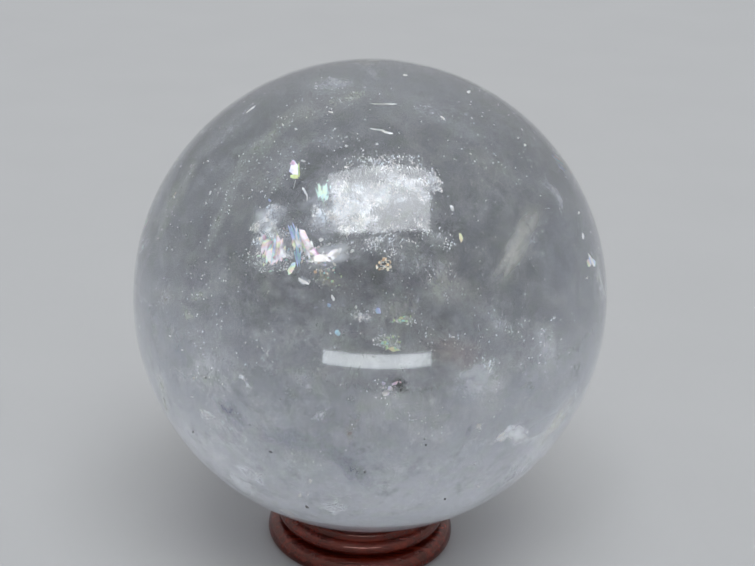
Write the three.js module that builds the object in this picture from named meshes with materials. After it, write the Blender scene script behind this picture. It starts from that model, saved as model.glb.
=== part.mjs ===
// A polished calcite sphere on a small turned wooden ring stand.
// Millimetres, +Z up. The origin is the middle of the stand's flat underside,
// so the stand rests on z = 0 and the sphere's centre is straight above.

import * as THREE from "three";

// The polished stone
const SPHERE_DIAMETER = 80;
const SPHERE_ROUND_STEPS = 72;
const SPHERE_HEIGHT_STEPS = 36;

// The turned stand: a low domed foot, a groove, a round bead and a flat-topped lip round a shallow dish
const FOOT_DIAMETER = 33.4;
const FOOT_EDGE_HEIGHT = 1.0;
const FOOT_EDGE_ROUND = 0.8;
const FOOT_TOP_DIAMETER = 29.2;
const GROOVE_DIAMETER = 27.2;
const GROOVE_LOW = 3.3;
const GROOVE_HIGH = 3.6;
const BEAD_DIAMETER = 30.2;
const BEAD_HEIGHT = 4.95;
const BEAD_TOP = 6.3;
const LIP_DIAMETER = 28;
const LIP_ROUND = 0.4;
const RIM_DIAMETER = 19.2;
const RIM_HEIGHT = 7.6;
const STAND_ROUND_STEPS = 64;
const ARC_STEPS = 5;
const DISH_STEPS = 5;

// Clearance between the stone and the wood that carries it
const SEAT_GAP = 0.3;

const sphereRadius = SPHERE_DIAMETER / 2;
const grooveRadius = GROOVE_DIAMETER / 2;
const rimRadius = RIM_DIAMETER / 2;
const dishRadius = sphereRadius + SEAT_GAP;

// The stone drops into the dish until its surface is SEAT_GAP above the rim.
const sphereCentreHeight = RIM_HEIGHT + Math.sqrt(dishRadius ** 2 - rimRadius ** 2);

const stoneMaterial = new THREE.MeshStandardMaterial({
  name: "calcite",
  color: 0xc3c8cf,
  roughness: 0.05,
  metalness: 0,
});

const woodMaterial = new THREE.MeshStandardMaterial({
  name: "lacquered_wood",
  color: 0x4a1410,
  roughness: 0.25,
  metalness: 0,
});

// Points on an ellipse about (radius, height), from one angle to another in degrees.
function arc(radius, height, halfWidth, halfHeight, fromDeg, toDeg) {
  const points = [];
  for (let i = 0; i <= ARC_STEPS; i++) {
    const angle = THREE.MathUtils.degToRad(fromDeg + ((toDeg - fromDeg) * i) / ARC_STEPS);
    points.push(
      new THREE.Vector2(
        radius + halfWidth * Math.cos(angle),
        height + halfHeight * Math.sin(angle),
      ),
    );
  }
  return points;
}

// The foot: flat underneath, round at its edge and domed up to its narrow top.
function footProfile() {
  const footRadius = FOOT_DIAMETER / 2;
  const topRadius = FOOT_TOP_DIAMETER / 2;
  const edge = arc(
    footRadius - FOOT_EDGE_ROUND, FOOT_EDGE_HEIGHT, FOOT_EDGE_ROUND, FOOT_EDGE_HEIGHT, -90, 0,
  );
  const dome = arc(
    topRadius, FOOT_EDGE_HEIGHT, footRadius - topRadius, GROOVE_LOW - FOOT_EDGE_HEIGHT, 0, 90,
  );
  return [...edge, ...dome.slice(1), new THREE.Vector2(grooveRadius, GROOVE_LOW)];
}

// The bead swells out of the groove and rolls in to the foot of the lip.
function beadProfile() {
  const beadRadius = BEAD_DIAMETER / 2;
  const lipRadius = LIP_DIAMETER / 2;
  const swell = arc(
    grooveRadius, BEAD_HEIGHT, beadRadius - grooveRadius, BEAD_HEIGHT - GROOVE_HIGH, -90, 0,
  );
  const shoulder = arc(lipRadius, BEAD_HEIGHT, beadRadius - lipRadius, BEAD_TOP - BEAD_HEIGHT, 0, 90);
  const lip = arc(lipRadius - LIP_ROUND, RIM_HEIGHT - LIP_ROUND, LIP_ROUND, LIP_ROUND, 0, 90);
  return [...swell, ...shoulder.slice(1), ...lip];
}

// The dish follows the stone, at the seat gap, from the rim down to the axis.
function dishProfile() {
  const rimAngle = Math.asin(rimRadius / dishRadius);
  const points = [];
  for (let i = 0; i <= DISH_STEPS; i++) {
    const angle = rimAngle * (1 - i / DISH_STEPS);
    points.push(
      new THREE.Vector2(
        i === DISH_STEPS ? 0 : dishRadius * Math.sin(angle),
        sphereCentreHeight - dishRadius * Math.cos(angle),
      ),
    );
  }
  return points;
}

// A LatheGeometry turns about Y, so the stand is stood up on Z afterwards.
function turnedStand() {
  const profile = [
    new THREE.Vector2(0, 0),
    ...footProfile(),
    ...beadProfile(),
    ...dishProfile(),
  ];
  const geometry = new THREE.LatheGeometry(profile, STAND_ROUND_STEPS);
  geometry.rotateX(Math.PI / 2);
  const mesh = new THREE.Mesh(geometry, woodMaterial);
  mesh.name = "ring_stand";
  return mesh;
}

// The ball's poles lie on Z, over the stand's axis.
function calciteSphere() {
  const geometry = new THREE.SphereGeometry(
    sphereRadius, SPHERE_ROUND_STEPS, SPHERE_HEIGHT_STEPS,
  );
  geometry.rotateX(Math.PI / 2);
  const mesh = new THREE.Mesh(geometry, stoneMaterial);
  mesh.name = "calcite_sphere";
  mesh.position.z = sphereCentreHeight;
  return mesh;
}

const group = new THREE.Group();
group.add(turnedStand(), calciteSphere());

export default group;
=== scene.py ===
import math
import random

import bpy
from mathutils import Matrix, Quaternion, Vector, noise


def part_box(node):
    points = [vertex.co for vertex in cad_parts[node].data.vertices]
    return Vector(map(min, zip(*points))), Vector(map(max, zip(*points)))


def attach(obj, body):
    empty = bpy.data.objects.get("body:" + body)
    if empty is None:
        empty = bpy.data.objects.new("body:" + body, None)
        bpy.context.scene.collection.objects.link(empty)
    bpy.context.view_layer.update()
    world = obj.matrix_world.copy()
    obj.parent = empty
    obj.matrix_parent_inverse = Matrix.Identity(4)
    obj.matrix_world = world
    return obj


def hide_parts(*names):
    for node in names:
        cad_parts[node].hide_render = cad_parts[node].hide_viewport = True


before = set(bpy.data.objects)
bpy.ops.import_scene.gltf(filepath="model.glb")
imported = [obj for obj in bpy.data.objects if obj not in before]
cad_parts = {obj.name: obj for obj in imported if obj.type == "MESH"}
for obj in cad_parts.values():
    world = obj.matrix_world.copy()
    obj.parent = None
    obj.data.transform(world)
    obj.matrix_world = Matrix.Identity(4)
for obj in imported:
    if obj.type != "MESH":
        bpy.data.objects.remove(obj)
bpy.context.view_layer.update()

# The viewpoint. It is a little over a quarter of a metre from the stone and looks down on it. A small
# roll puts the stand just left of the stone's middle. Marks in the stone are placed along its sight lines.
stone_low, stone_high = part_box("calcite_sphere")
CENTRE = (stone_low + stone_high) / 2
RADIUS = (stone_high.x - stone_low.x) / 2
PICTURE_WIDTH, PICTURE_HEIGHT = 755, 566
STONE_ACROSS, STONE_DOWN, STONE_REACH = 370, 295.5, 237
EYE_REACH = 6.5
EYE_ELEVATION = math.radians(24)
EYE_ROLL = math.radians(2.5)
SENSOR_WIDTH = 36
lens_reach = math.sqrt(EYE_REACH**2 - 1)
to_eye = Vector((0, -math.cos(EYE_ELEVATION), math.sin(EYE_ELEVATION)))


def new_object(name, data):
    """A new object in the scene."""
    made = bpy.data.objects.new(name, data)
    bpy.context.collection.objects.link(made)
    return made


camera_data = bpy.data.cameras.new("viewpoint")
camera_data.sensor_width = SENSOR_WIDTH
camera_data.lens = STONE_REACH * lens_reach / PICTURE_WIDTH * SENSOR_WIDTH
camera_data.shift_x = (PICTURE_WIDTH / 2 - STONE_ACROSS) / PICTURE_WIDTH
camera_data.shift_y = (STONE_DOWN - PICTURE_HEIGHT / 2) / PICTURE_WIDTH
camera_data.clip_start = 0.01
camera = new_object("viewpoint", camera_data)
camera.rotation_mode = "QUATERNION"
camera.location = CENTRE + to_eye * EYE_REACH * RADIUS
camera.rotation_quaternion = (-to_eye).to_track_quat("-Z", "Y") @ Quaternion((0, 0, 1), EYE_ROLL)
bpy.context.scene.camera = camera
sight_right = camera.rotation_quaternion @ Vector((1, 0, 0))
sight_up = camera.rotation_quaternion @ Vector((0, 1, 0))


# The polished stone. One piece of translucent grey-white calcite, ground round and polished by hand,
# so its face carries a ripple finer than a hair and its body a slight milkiness. It rests in the
# stand's dish.
STONE_IOR = 1.6
STONE_SUBDIVISIONS = 7
RIPPLE_DEPTH = 0.00003
RIPPLE_WAVES_PER_METRE = 55
CLOUD_WAVES = 60
FLECK_WAVES = 420
MILK_PALE = (0.98, 0.99, 1.0)
MILK_DEEP = (0.88, 0.90, 0.93)
FLECK_GREEN = (0.90, 0.95, 0.86)
FLECK_CLEAR = (0.97, 0.97, 0.97)
FLECK_BLUE = (0.97, 0.98, 1.0)
STONE_CLEARNESS = 0.92
STONE_TINT = (0.31, 0.335, 0.38, 1)
STONE_TINT_DENSITY = 25


def growing_tree(name, inputs):
    """A new geometry node tree and its inputs, from their names and kinds."""
    tree = bpy.data.node_groups.new(name, "GeometryNodeTree")
    tree.interface.new_socket("Geometry", in_out="OUTPUT", socket_type="NodeSocketGeometry")
    for label, kind in inputs.items():
        tree.interface.new_socket(label, in_out="INPUT", socket_type="NodeSocket" + kind)
    return tree, tree.nodes.new("NodeGroupInput").outputs


def fill(tree, socket, value):
    """Gives an input a value, another node's output, or a whole node's first output that is in use."""
    if isinstance(value, bpy.types.Node):
        value = next(s for s in value.outputs if s.enabled)
    if isinstance(value, bpy.types.NodeSocket):
        tree.links.new(value, socket)
    else:
        socket.default_value = value


def node(tree, kind, settings=None, **inputs):
    """Adds a node, sets its properties and fills its inputs by name."""
    made = tree.nodes.new(kind)
    for name, value in (settings or {}).items():
        setattr(made, name, value)
    for name, value in inputs.items():
        fill(tree, next(s for s in made.inputs if s.enabled and s.name == name.replace("_", " ")), value)
    return made


def worked(tree, kind, operation, *values):
    """A Math or Vector Math node, whose inputs share one name."""
    made = node(tree, kind, {"operation": operation})
    for socket, value in zip(made.inputs, values):
        fill(tree, socket, value)
    return made


def grown(name, tree, values, base=None):
    """A plain mesh object from a geometry node tree, with its named inputs set before it is evaluated."""
    carrier = new_object(name + "_carrier", base or bpy.data.meshes.new(name + "_carrier"))
    modifier = carrier.modifiers.new("grow", "NODES")
    modifier.node_group = tree
    for item in tree.interface.items_tree:
        if item.in_out == "INPUT" and item.name in values:
            modifier[item.identifier] = values[item.name]
    evaluated = carrier.evaluated_get(bpy.context.evaluated_depsgraph_get())
    mesh = bpy.data.meshes.new_from_object(evaluated)
    mesh.name = name
    bpy.data.objects.remove(carrier)
    return new_object(name, mesh)


def ended(tree, made, material):
    """Ends a node tree: what it made becomes real geometry of one material."""
    realized = node(tree, "GeometryNodeRealizeInstances", Geometry=made)
    finished = node(tree, "GeometryNodeSetMaterial", Geometry=realized, Material=material)
    fill(tree, tree.nodes.new("NodeGroupOutput").inputs["Geometry"], finished)
    return tree


def shader(name):
    """A new material, its tree, its Principled shader and the place of each point in the part's frame."""
    material = bpy.data.materials.new(name)
    material.use_nodes = True
    tree = material.node_tree
    return material, tree, tree.nodes["Principled BSDF"], node(tree, "ShaderNodeTexCoord").outputs["Object"]


def noise_node(tree, **inputs):
    return node(tree, "ShaderNodeTexNoise", **inputs)


def ramp(tree, value, stops):
    """Colours for a value from 0 to 1, from stops of (position, (red, green, blue))."""
    made = node(tree, "ShaderNodeValToRGB", Fac=value)
    while len(made.color_ramp.elements) < len(stops):
        made.color_ramp.elements.new(0.5)
    for element, (position, colour) in zip(made.color_ramp.elements, stops):
        element.position = position
        element.color = (*colour, 1)
    return made


def product(tree, a, b):
    """Two colours multiplied."""
    return node(tree, "ShaderNodeMix", {"data_type": "RGBA", "blend_type": "MULTIPLY"}, Factor=1.0, A=a, B=b)


def times(tree, a, b):
    """Two values multiplied."""
    return worked(tree, "ShaderNodeMath", "MULTIPLY", a, b)


def stone_material():
    material, tree, skin, place = shader("polished_calcite")
    cloud = noise_node(tree, Vector=place, Scale=CLOUD_WAVES, Detail=8.0, Roughness=0.62)
    fleck = noise_node(tree, Vector=place, Scale=FLECK_WAVES, Detail=3.0, Roughness=0.6)
    mottle = ramp(tree, cloud, [(0.34, MILK_DEEP), (0.66, MILK_PALE)])
    flecks = ramp(tree, fleck, [(0.32, FLECK_GREEN), (0.5, FLECK_CLEAR), (0.68, FLECK_BLUE)])
    fill(tree, skin.inputs["Base Color"], product(tree, mottle, flecks))
    skin.inputs["Roughness"].default_value = 0.08
    skin.inputs["IOR"].default_value = STONE_IOR
    skin.inputs["Transmission Weight"].default_value = STONE_CLEARNESS
    body = node(tree, "ShaderNodeVolumeAbsorption", Color=STONE_TINT, Density=STONE_TINT_DENSITY)
    tree.links.new(body.outputs["Volume"], tree.nodes["Material Output"].inputs["Volume"])
    return material


def stone_tree():
    tree, given = growing_tree("hand_polished_ball", {
        "Radius": "Float",
        "Centre": "Vector",
        "Subdivisions": "Int",
        "Ripple Rise": "Float",
        "Ripple Scale": "Float",
        "Material": "Material",
    })
    ball = node(tree, "GeometryNodeMeshIcoSphere", Radius=given["Radius"], Subdivisions=given["Subdivisions"])
    ripple = noise_node(tree, Scale=given["Ripple Scale"], Detail=1.0)
    lowered = times(tree, ripple, given["Ripple Rise"])
    offset = worked(tree, "ShaderNodeVectorMath", "SCALE", node(tree, "GeometryNodeInputNormal"))
    fill(tree, offset.inputs["Scale"], lowered)
    moved = node(tree, "GeometryNodeSetPosition", Geometry=ball, Offset=offset)
    placed = node(tree, "GeometryNodeTransform", Geometry=moved, Translation=given["Centre"])
    smooth = node(tree, "GeometryNodeSetShadeSmooth", Geometry=placed)
    return ended(tree, smooth, given["Material"])


stone = grown("polished_stone", stone_tree(), {
    "Radius": RADIUS,
    "Centre": CENTRE,
    "Subdivisions": STONE_SUBDIVISIONS,
    "Ripple Rise": -RIPPLE_DEPTH,
    "Ripple Scale": RIPPLE_WAVES_PER_METRE,
    "Material": stone_material(),
})
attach(stone, "root")
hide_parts("calcite_sphere")


# Healed cracks and clouds. Where the growing crystal cracked and healed, it keeps wavy sheets of fluid
# pockets: white clouds and lace, banks of milk low down and a faint mottle. Dark sheets give a few smoky
# marks, and painted shade where the milk is thin and the clear stone would show dark. Each sheet is laid
# out as the viewpoint sees it and traced through the face to its depth.
SHEET_RINGS = 9
SHEET_SPOKES = 40
SHEET_RAGGED = 0.55
RAGGED_SCALE = 1.6
SHEET_WAVE = 0.03
WAVE_SCALE = 9
SHEET_SHALLOWEST = 0.012
INNER_LIMIT = 0.99
LAMP_GRAZE = 0.05
LAMP_TURN = math.radians(45.9)
LAMP_SIDE = math.radians(8.9)
WHITE = (0.93, 0.95, 1.0)
CREAM = (0.90, 0.88, 0.78)
GREENISH = (0.80, 0.86, 0.72)
OLIVE = (0.62, 0.58, 0.42)
HAZE = (0.38, 0.39, 0.42)
MILK = (0.90, 0.92, 0.97)
# Dark sheet tints: painted shade where clear stone shows dark. The first also colours a few real smoky marks.
SMOKY_MARKS_AND_SHADE = (0.05, 0.055, 0.075)
BLUE_PAINTED_SHADE = (0.16, 0.18, 0.26)
TAN = (0.55, 0.42, 0.36)
POCKET_SMALLEST = 0.00002
POCKET_LARGEST = 0.00012
POCKET_STRETCH = 2.2
POCKET_DEPTH = 0.06
BRIGHT_DENSITY = 1.6e8
DIM_DENSITY = 1.4e7
SIDE_DENSITY = 1.8e7
BANK_RINGS = 24
BANK_SPOKES = 64
BANK_SCALE = 2.2
BANK_TOP = 130
HIDDEN_SPINS = (110, 180, 250)
STREWN_REACH = 0.85
STREWN_LENGTHS = (0.04, 0.20)
STREWN_SLIMNESS = (0.2, 0.7)
STREWN_DEPTHS = (0.03, 0.15)
STREWN_LEAN = 0.02
STREWN_STRENGTHS = (0.3, 1)
NOISE_REACH = (0, 50)
SIDE_CRACKS = 16
FAINT_CRACKS = 46

to_lamp = Quaternion((0, 0, 1), LAMP_SIDE) @ Quaternion((1, 0, 0), -LAMP_TURN) @ to_eye


def bent(ray, normal):
    """A ray from the air, bent as it enters the stone."""
    cosine = -ray.dot(normal)
    sine_inside_squared = (1 - cosine**2) / STONE_IOR**2
    return ray / STONE_IOR + (cosine / STONE_IOR - math.sqrt(1 - sine_inside_squared)) * normal


def sight(across, up):
    """Where the sight line at across, up meets the stone, and its way inside, in the stone's radii."""
    reach = math.hypot(across, up)
    if reach > INNER_LIMIT:
        across, up = across * INNER_LIMIT / reach, up * INNER_LIMIT / reach
    ray = (sight_right * across + sight_up * up) / lens_reach - to_eye
    ray.normalize()
    eye = to_eye * EYE_REACH
    along = -eye.dot(ray) - math.sqrt(eye.dot(ray) ** 2 - EYE_REACH**2 + 1)
    entry = eye + ray * along
    return entry, bent(ray, entry.normalized())


def inside(across, up, depth):
    """The point in the stone that shows at across, up. depth is its share of the way through the stone."""
    entry, inner = sight(across, up)
    point = entry + inner * (-2 * entry.dot(inner)) * depth
    if point.length > INNER_LIMIT:
        point = point.normalized() * INNER_LIMIT
    return CENTRE + point * RADIUS


def facing_lamp(across, up):
    """The way a face inside the stone has to look, to mirror the overhead lamp to the viewpoint."""
    entry, inner = sight(across, up)
    normal = entry.normalized()
    if normal.dot(to_lamp) < LAMP_GRAZE:
        return -inner
    return (-inner - bent(-to_lamp, normal)).normalized()


def keep_in_stone(piece):
    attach(piece, "root")


def new_mesh(name, points, faces):
    mesh = bpy.data.meshes.new(name)
    mesh.from_pydata(points, [], faces)
    return mesh


def chance_vector(chance, least, most):
    return Vector([chance.uniform(least, most) for _ in range(3)])


def swung(point, spin):
    """A point carried spin degrees round the stone's upright axis."""
    return CENTRE + Quaternion((0, 0, 1), math.radians(spin)) @ (point - CENTRE)


def keep_values(mesh, name, kind, values):
    """Keeps values for a mesh's points under a name that materials and node trees read."""
    field = {"FLOAT": "value", "FLOAT_COLOR": "color", "FLOAT_VECTOR": "vector"}[kind]
    mesh.attributes.new(name, kind, "POINT").data.foreach_set(field, values)


def disc_faces(first, rings, spokes):
    """The faces of a disc whose points are its middle and then ring after ring, from point number first."""
    faces = []
    for spoke in range(spokes):
        after = (spoke + 1) % spokes
        faces.append((first, first + 1 + spoke, first + 1 + after))
        for ring in range(1, rings):
            inner, outer = first + 1 + (ring - 1) * spokes, first + 1 + ring * spokes
            faces.append((inner + spoke, outer + spoke, outer + after, inner + after))
    return faces


def crack_mesh(name, sheets, seed, softness=1, spin=0):
    """Wavy ragged ovals: across, up, half length, half breadth, turn, depth, lean, strength, maybe a tint."""
    chance = random.Random(seed)
    points, faces, fades, tints, looks = [], [], [], [], []
    for across, up, half_long, half_broad, turn, depth, lean, strength, *own_tint in sheets:
        tint = own_tint[0] if own_tint else WHITE
        first = len(points)
        phase = chance_vector(chance, *NOISE_REACH)
        look = swung(CENTRE + facing_lamp(across, up), spin) - CENTRE
        cosine, sine = math.cos(math.radians(turn)), math.sin(math.radians(turn))
        for ring in range(SHEET_RINGS + 1):
            share = ring / SHEET_RINGS
            for spoke in range(SHEET_SPOKES if ring else 1):
                angle = math.tau * spoke / SHEET_SPOKES
                edge = Vector((math.cos(angle), math.sin(angle), 0))
                ragged = 1 + SHEET_RAGGED * noise.noise(edge * RAGGED_SCALE + phase)
                x, y = half_long * share * ragged * edge.x, half_broad * share * ragged * edge.y
                wave = SHEET_WAVE * noise.noise(Vector((x * WAVE_SCALE, y * WAVE_SCALE, 0)) + phase)
                along, aside = x * cosine - y * sine, x * sine + y * cosine
                sunk = max(SHEET_SHALLOWEST, depth + lean * share * edge.x + wave)
                points.append(swung(inside(across + along, up + aside, sunk), spin))
                fades.append(strength * (1 - share**2) ** softness)
                tints += [*tint, 1.0]
                looks += [*look]
        faces += disc_faces(first, SHEET_RINGS, SHEET_SPOKES)
    mesh = new_mesh(name, points, faces)
    keep_values(mesh, "fade", "FLOAT", fades)
    keep_values(mesh, "tint", "FLOAT_COLOR", tints)
    keep_values(mesh, "look", "FLOAT_VECTOR", looks)
    mesh.shade_smooth()
    return mesh


def cloud_bank(name, reach, wave, strength, seed):
    """A wavy bowl of milk that lies low in the stone and thins out up to its top."""
    phase = chance_vector(random.Random(seed), *NOISE_REACH)
    points, fades = [], []
    for ring in range(BANK_RINGS + 1):
        share = ring / BANK_RINGS
        for spoke in range(BANK_SPOKES if ring else 1):
            angle = math.tau * spoke / BANK_SPOKES
            lean = math.radians(BANK_TOP) * share
            out = math.sin(lean)
            way = Vector((out * math.cos(angle), out * math.sin(angle), -math.cos(lean)))
            points.append(CENTRE + way * RADIUS * (reach + wave * noise.noise(way * BANK_SCALE + phase)))
            fades.append(strength * (1 - share**2) ** 2)
    mesh = new_mesh(name, points, disc_faces(0, BANK_RINGS, BANK_SPOKES))
    keep_values(mesh, "fade", "FLOAT", fades)
    keep_values(mesh, "tint", "FLOAT_COLOR", (*MILK, 1.0) * len(points))
    mesh.shade_smooth()
    return mesh


def strewn_cracks(count, seed, strongest):
    """Healed cracks laid out by chance."""
    chance = random.Random(seed)
    sheets = []
    for _ in range(count):
        angle, out = chance.uniform(0, math.tau), STREWN_REACH * math.sqrt(chance.random())
        half_long = chance.uniform(*STREWN_LENGTHS)
        sheets.append((
            out * math.cos(angle), out * math.sin(angle),
            half_long, half_long * chance.uniform(*STREWN_SLIMNESS),
            chance.uniform(0, 180), chance.uniform(*STREWN_DEPTHS), STREWN_LEAN,
            strongest * chance.uniform(*STREWN_STRENGTHS), chance.choice((WHITE, WHITE, CREAM, GREENISH)),
        ))
    return sheets


def veil_material(name, thinnest, thickest, laciness):
    """Cloud and lace. It starts at the noise level thinnest, is full at thickest, and laciness opens it."""
    material, tree, skin, place = shader(name)
    drawn = node(tree, "ShaderNodeMapping", Vector=place, Rotation=(EYE_ELEVATION, 0, 0), Scale=(1, 1, 0.4))
    tint = node(tree, "ShaderNodeAttribute", {"attribute_name": "tint"})
    fade = node(tree, "ShaderNodeAttribute", {"attribute_name": "fade"})
    broad = noise_node(tree, Vector=place, Scale=260.0, Detail=6.0, Roughness=0.7)
    fine = noise_node(tree, Vector=drawn, Scale=1500.0, Detail=3.0, Roughness=0.7)
    patches = node(tree, "ShaderNodeMapRange", Value=broad, From_Min=thinnest, From_Max=thickest)
    fibres = node(tree, "ShaderNodeMapRange", Value=fine, From_Min=0.35, From_Max=0.6, To_Min=1 - laciness)
    lace = times(tree, patches, fibres)
    fill(tree, skin.inputs["Alpha"], times(tree, lace, fade.outputs["Fac"]))
    fill(tree, skin.inputs["Base Color"], tint.outputs["Color"])
    skin.inputs["Roughness"].default_value = 0.5
    return material


def set_in_stone(name, mesh, material):
    mesh.materials.append(material)
    keep_in_stone(new_object(name, mesh))


def pocket_material():
    material, tree, skin, place = shader("fluid_pockets")
    patch = noise_node(tree, Vector=place, Scale=700.0, Detail=2.0)
    tones = ramp(tree, patch, [(0.35, (0.85, 0.92, 1.0)), (0.5, (1, 1, 1)), (0.65, (1.0, 0.93, 0.88))])
    fill(tree, skin.inputs["Base Color"], tones)
    skin.inputs["Metallic"].default_value = 0.9
    skin.inputs["Roughness"].default_value = 0.35
    return material


def random_draw(tree, seed, kind="FLOAT", **limits):
    """A random value or vector for each point."""
    return node(tree, "FunctionNodeRandomValue", {"data_type": kind}, Seed=seed, **limits)


def thinned(tree, points, seed, share):
    """Points of which chance keeps a share."""
    luck = random_draw(tree, seed)
    dropped = node(tree, "FunctionNodeCompare", {"operation": "GREATER_THAN"}, A=luck, B=share)
    return node(tree, "GeometryNodeDeleteGeometry", Geometry=points, Selection=dropped)


def mostly_small(tree, seed, given):
    """Random sizes from Smallest to Largest, of which most are small."""
    draw = random_draw(tree, seed)
    return node(tree, "ShaderNodeMapRange", Value=times(tree, times(tree, draw, draw), draw),
                To_Min=given["Smallest"], To_Max=given["Largest"])


def pocket_tree():
    """Tiny flat crystals strewn on the cracks, thick where fade and a lacy noise are high."""
    tree, given = growing_tree("fluid_pockets_on_cracks", {
        "Cracks": "Geometry",
        "Density": "Float",
        "Smallest": "Float",
        "Largest": "Float",
        "Grain": "Vector",
        "Seed": "Int",
        "Material": "Material",
    })
    strewn = node(tree, "GeometryNodeDistributePointsOnFaces", Mesh=given["Cracks"], Density=given["Density"],
                  Seed=given["Seed"])
    fade = node(tree, "GeometryNodeInputNamedAttribute", {"data_type": "FLOAT"}, Name="fade")
    look = node(tree, "GeometryNodeInputNamedAttribute", {"data_type": "FLOAT_VECTOR"}, Name="look")
    holes = noise_node(tree, Scale=450.0, Detail=4.0, Roughness=0.65)
    lace = node(tree, "ShaderNodeMapRange", Value=holes, From_Min=0.42, From_Max=0.62)
    kept = thinned(tree, strewn, 1, times(tree, fade, lace))
    size = mostly_small(tree, 2, given)
    shape = node(tree, "ShaderNodeCombineXYZ", X=size, Y=times(tree, size, POCKET_STRETCH), Z=size)
    tilt = random_draw(tree, 3, "FLOAT_VECTOR", Min=(-0.2,) * 3, Max=(0.2,) * 3)
    wander = random_draw(tree, 4, "FLOAT_VECTOR", Min=(-0.6,) * 3, Max=(0.6,) * 3)
    faced = worked(tree, "ShaderNodeVectorMath", "ADD", look, tilt)
    drawn = worked(tree, "ShaderNodeVectorMath", "ADD", given["Grain"], wander)
    upright = node(tree, "FunctionNodeAlignRotationToVector", {"axis": "Z"}, Vector=faced)
    turned = node(tree, "FunctionNodeAlignRotationToVector", {"axis": "Y", "pivot_axis": "Z"},
                  Rotation=upright, Vector=drawn)
    crystal = node(tree, "GeometryNodeMeshCone", Vertices=3, Radius_Bottom=1.0, Depth=POCKET_DEPTH)
    placed = node(tree, "GeometryNodeInstanceOnPoints", Points=kept, Instance=crystal,
                  Rotation=turned, Scale=shape)
    return ended(tree, placed, given["Material"])


pocket_crystals = pocket_material()
pocket_layout = pocket_tree()


def pockets(name, mesh, density, seed):
    keep_in_stone(grown(name, pocket_layout, {
        "Density": density,
        "Smallest": POCKET_SMALLEST,
        "Largest": POCKET_LARGEST,
        "Grain": sight_up,
        "Seed": seed,
        "Material": pocket_crystals,
    }, mesh))


bright_cracks = crack_mesh("bright_cracks", [
    (-0.12, 0.38, 0.12, 0.1, 20, 0.035, 0.01, 1.4),
    (-0.17, 0.34, 0.09, 0.08, 20, 0.04, 0.01, 1.5),
    (-0.07, 0.34, 0.13, 0.08, 10, 0.045, 0.01, 1.4),
    (0.04, 0.42, 0.14, 0.07, 5, 0.055, -0.01, 1.0),
    (0.15, 0.47, 0.11, 0.05, -20, 0.035, 0.01, 1.0),
    (0.22, 0.43, 0.06, 0.03, -35, 0.045, 0.01, 0.8),
    (-0.02, 0.28, 0.2, 0.02, 2, 0.05, 0.02, 0.45),
    (0.27, 0.48, 0.035, 0.06, 20, 0.03, 0.0, 0.9),
    (0.05, 0.22, 0.24, 0.05, -3, 0.07, 0.03, 0.35),
    (0.28, 0.25, 0.1, 0.05, -30, 0.08, 0.03, 0.35),
    (-0.43, 0.32, 0.07, 0.06, 40, 0.045, 0.01, 1.3),
    (-0.41, 0.19, 0.11, 0.1, -30, 0.055, 0.01, 0.8),
    (-0.2, 0.18, 0.1, 0.05, 12, 0.06, 0.01, 0.6),
    (-0.28, 0.06, 0.03, 0.02, -25, 0.07, 0.0, 1.0),
    (0.57, -0.585, 0.05, 0.018, 38, 0.05, 0.01, 1.0),
    (0.625, -0.585, 0.05, 0.035, 10, 0.06, 0.01, 0.7),
    (0.05, 0.55, 0.22, 0.05, 3, 0.06, 0.02, 0.3),
    (-0.693, -0.5, 0.035, 0.02, -15, 0.06, 0.0, 0.8),
    (-0.54, -0.345, 0.02, 0.012, -40, 0.05, 0.0, 0.9),
    (-0.515, -0.38, 0.02, 0.012, -40, 0.05, 0.0, 0.9),
    (0.5, -0.29, 0.03, 0.04, 10, 0.06, 0.01, 0.4, GREENISH),
    (-0.03, -0.09, 0.05, 0.03, 0, 0.08, 0.01, 0.5),
    (0.14, -0.1, 0.05, 0.02, -10, 0.07, 0.01, 0.7, GREENISH),
    (0.08, -0.2, 0.09, 0.03, -20, 0.07, 0.01, 0.5, GREENISH),
], 11)
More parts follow.
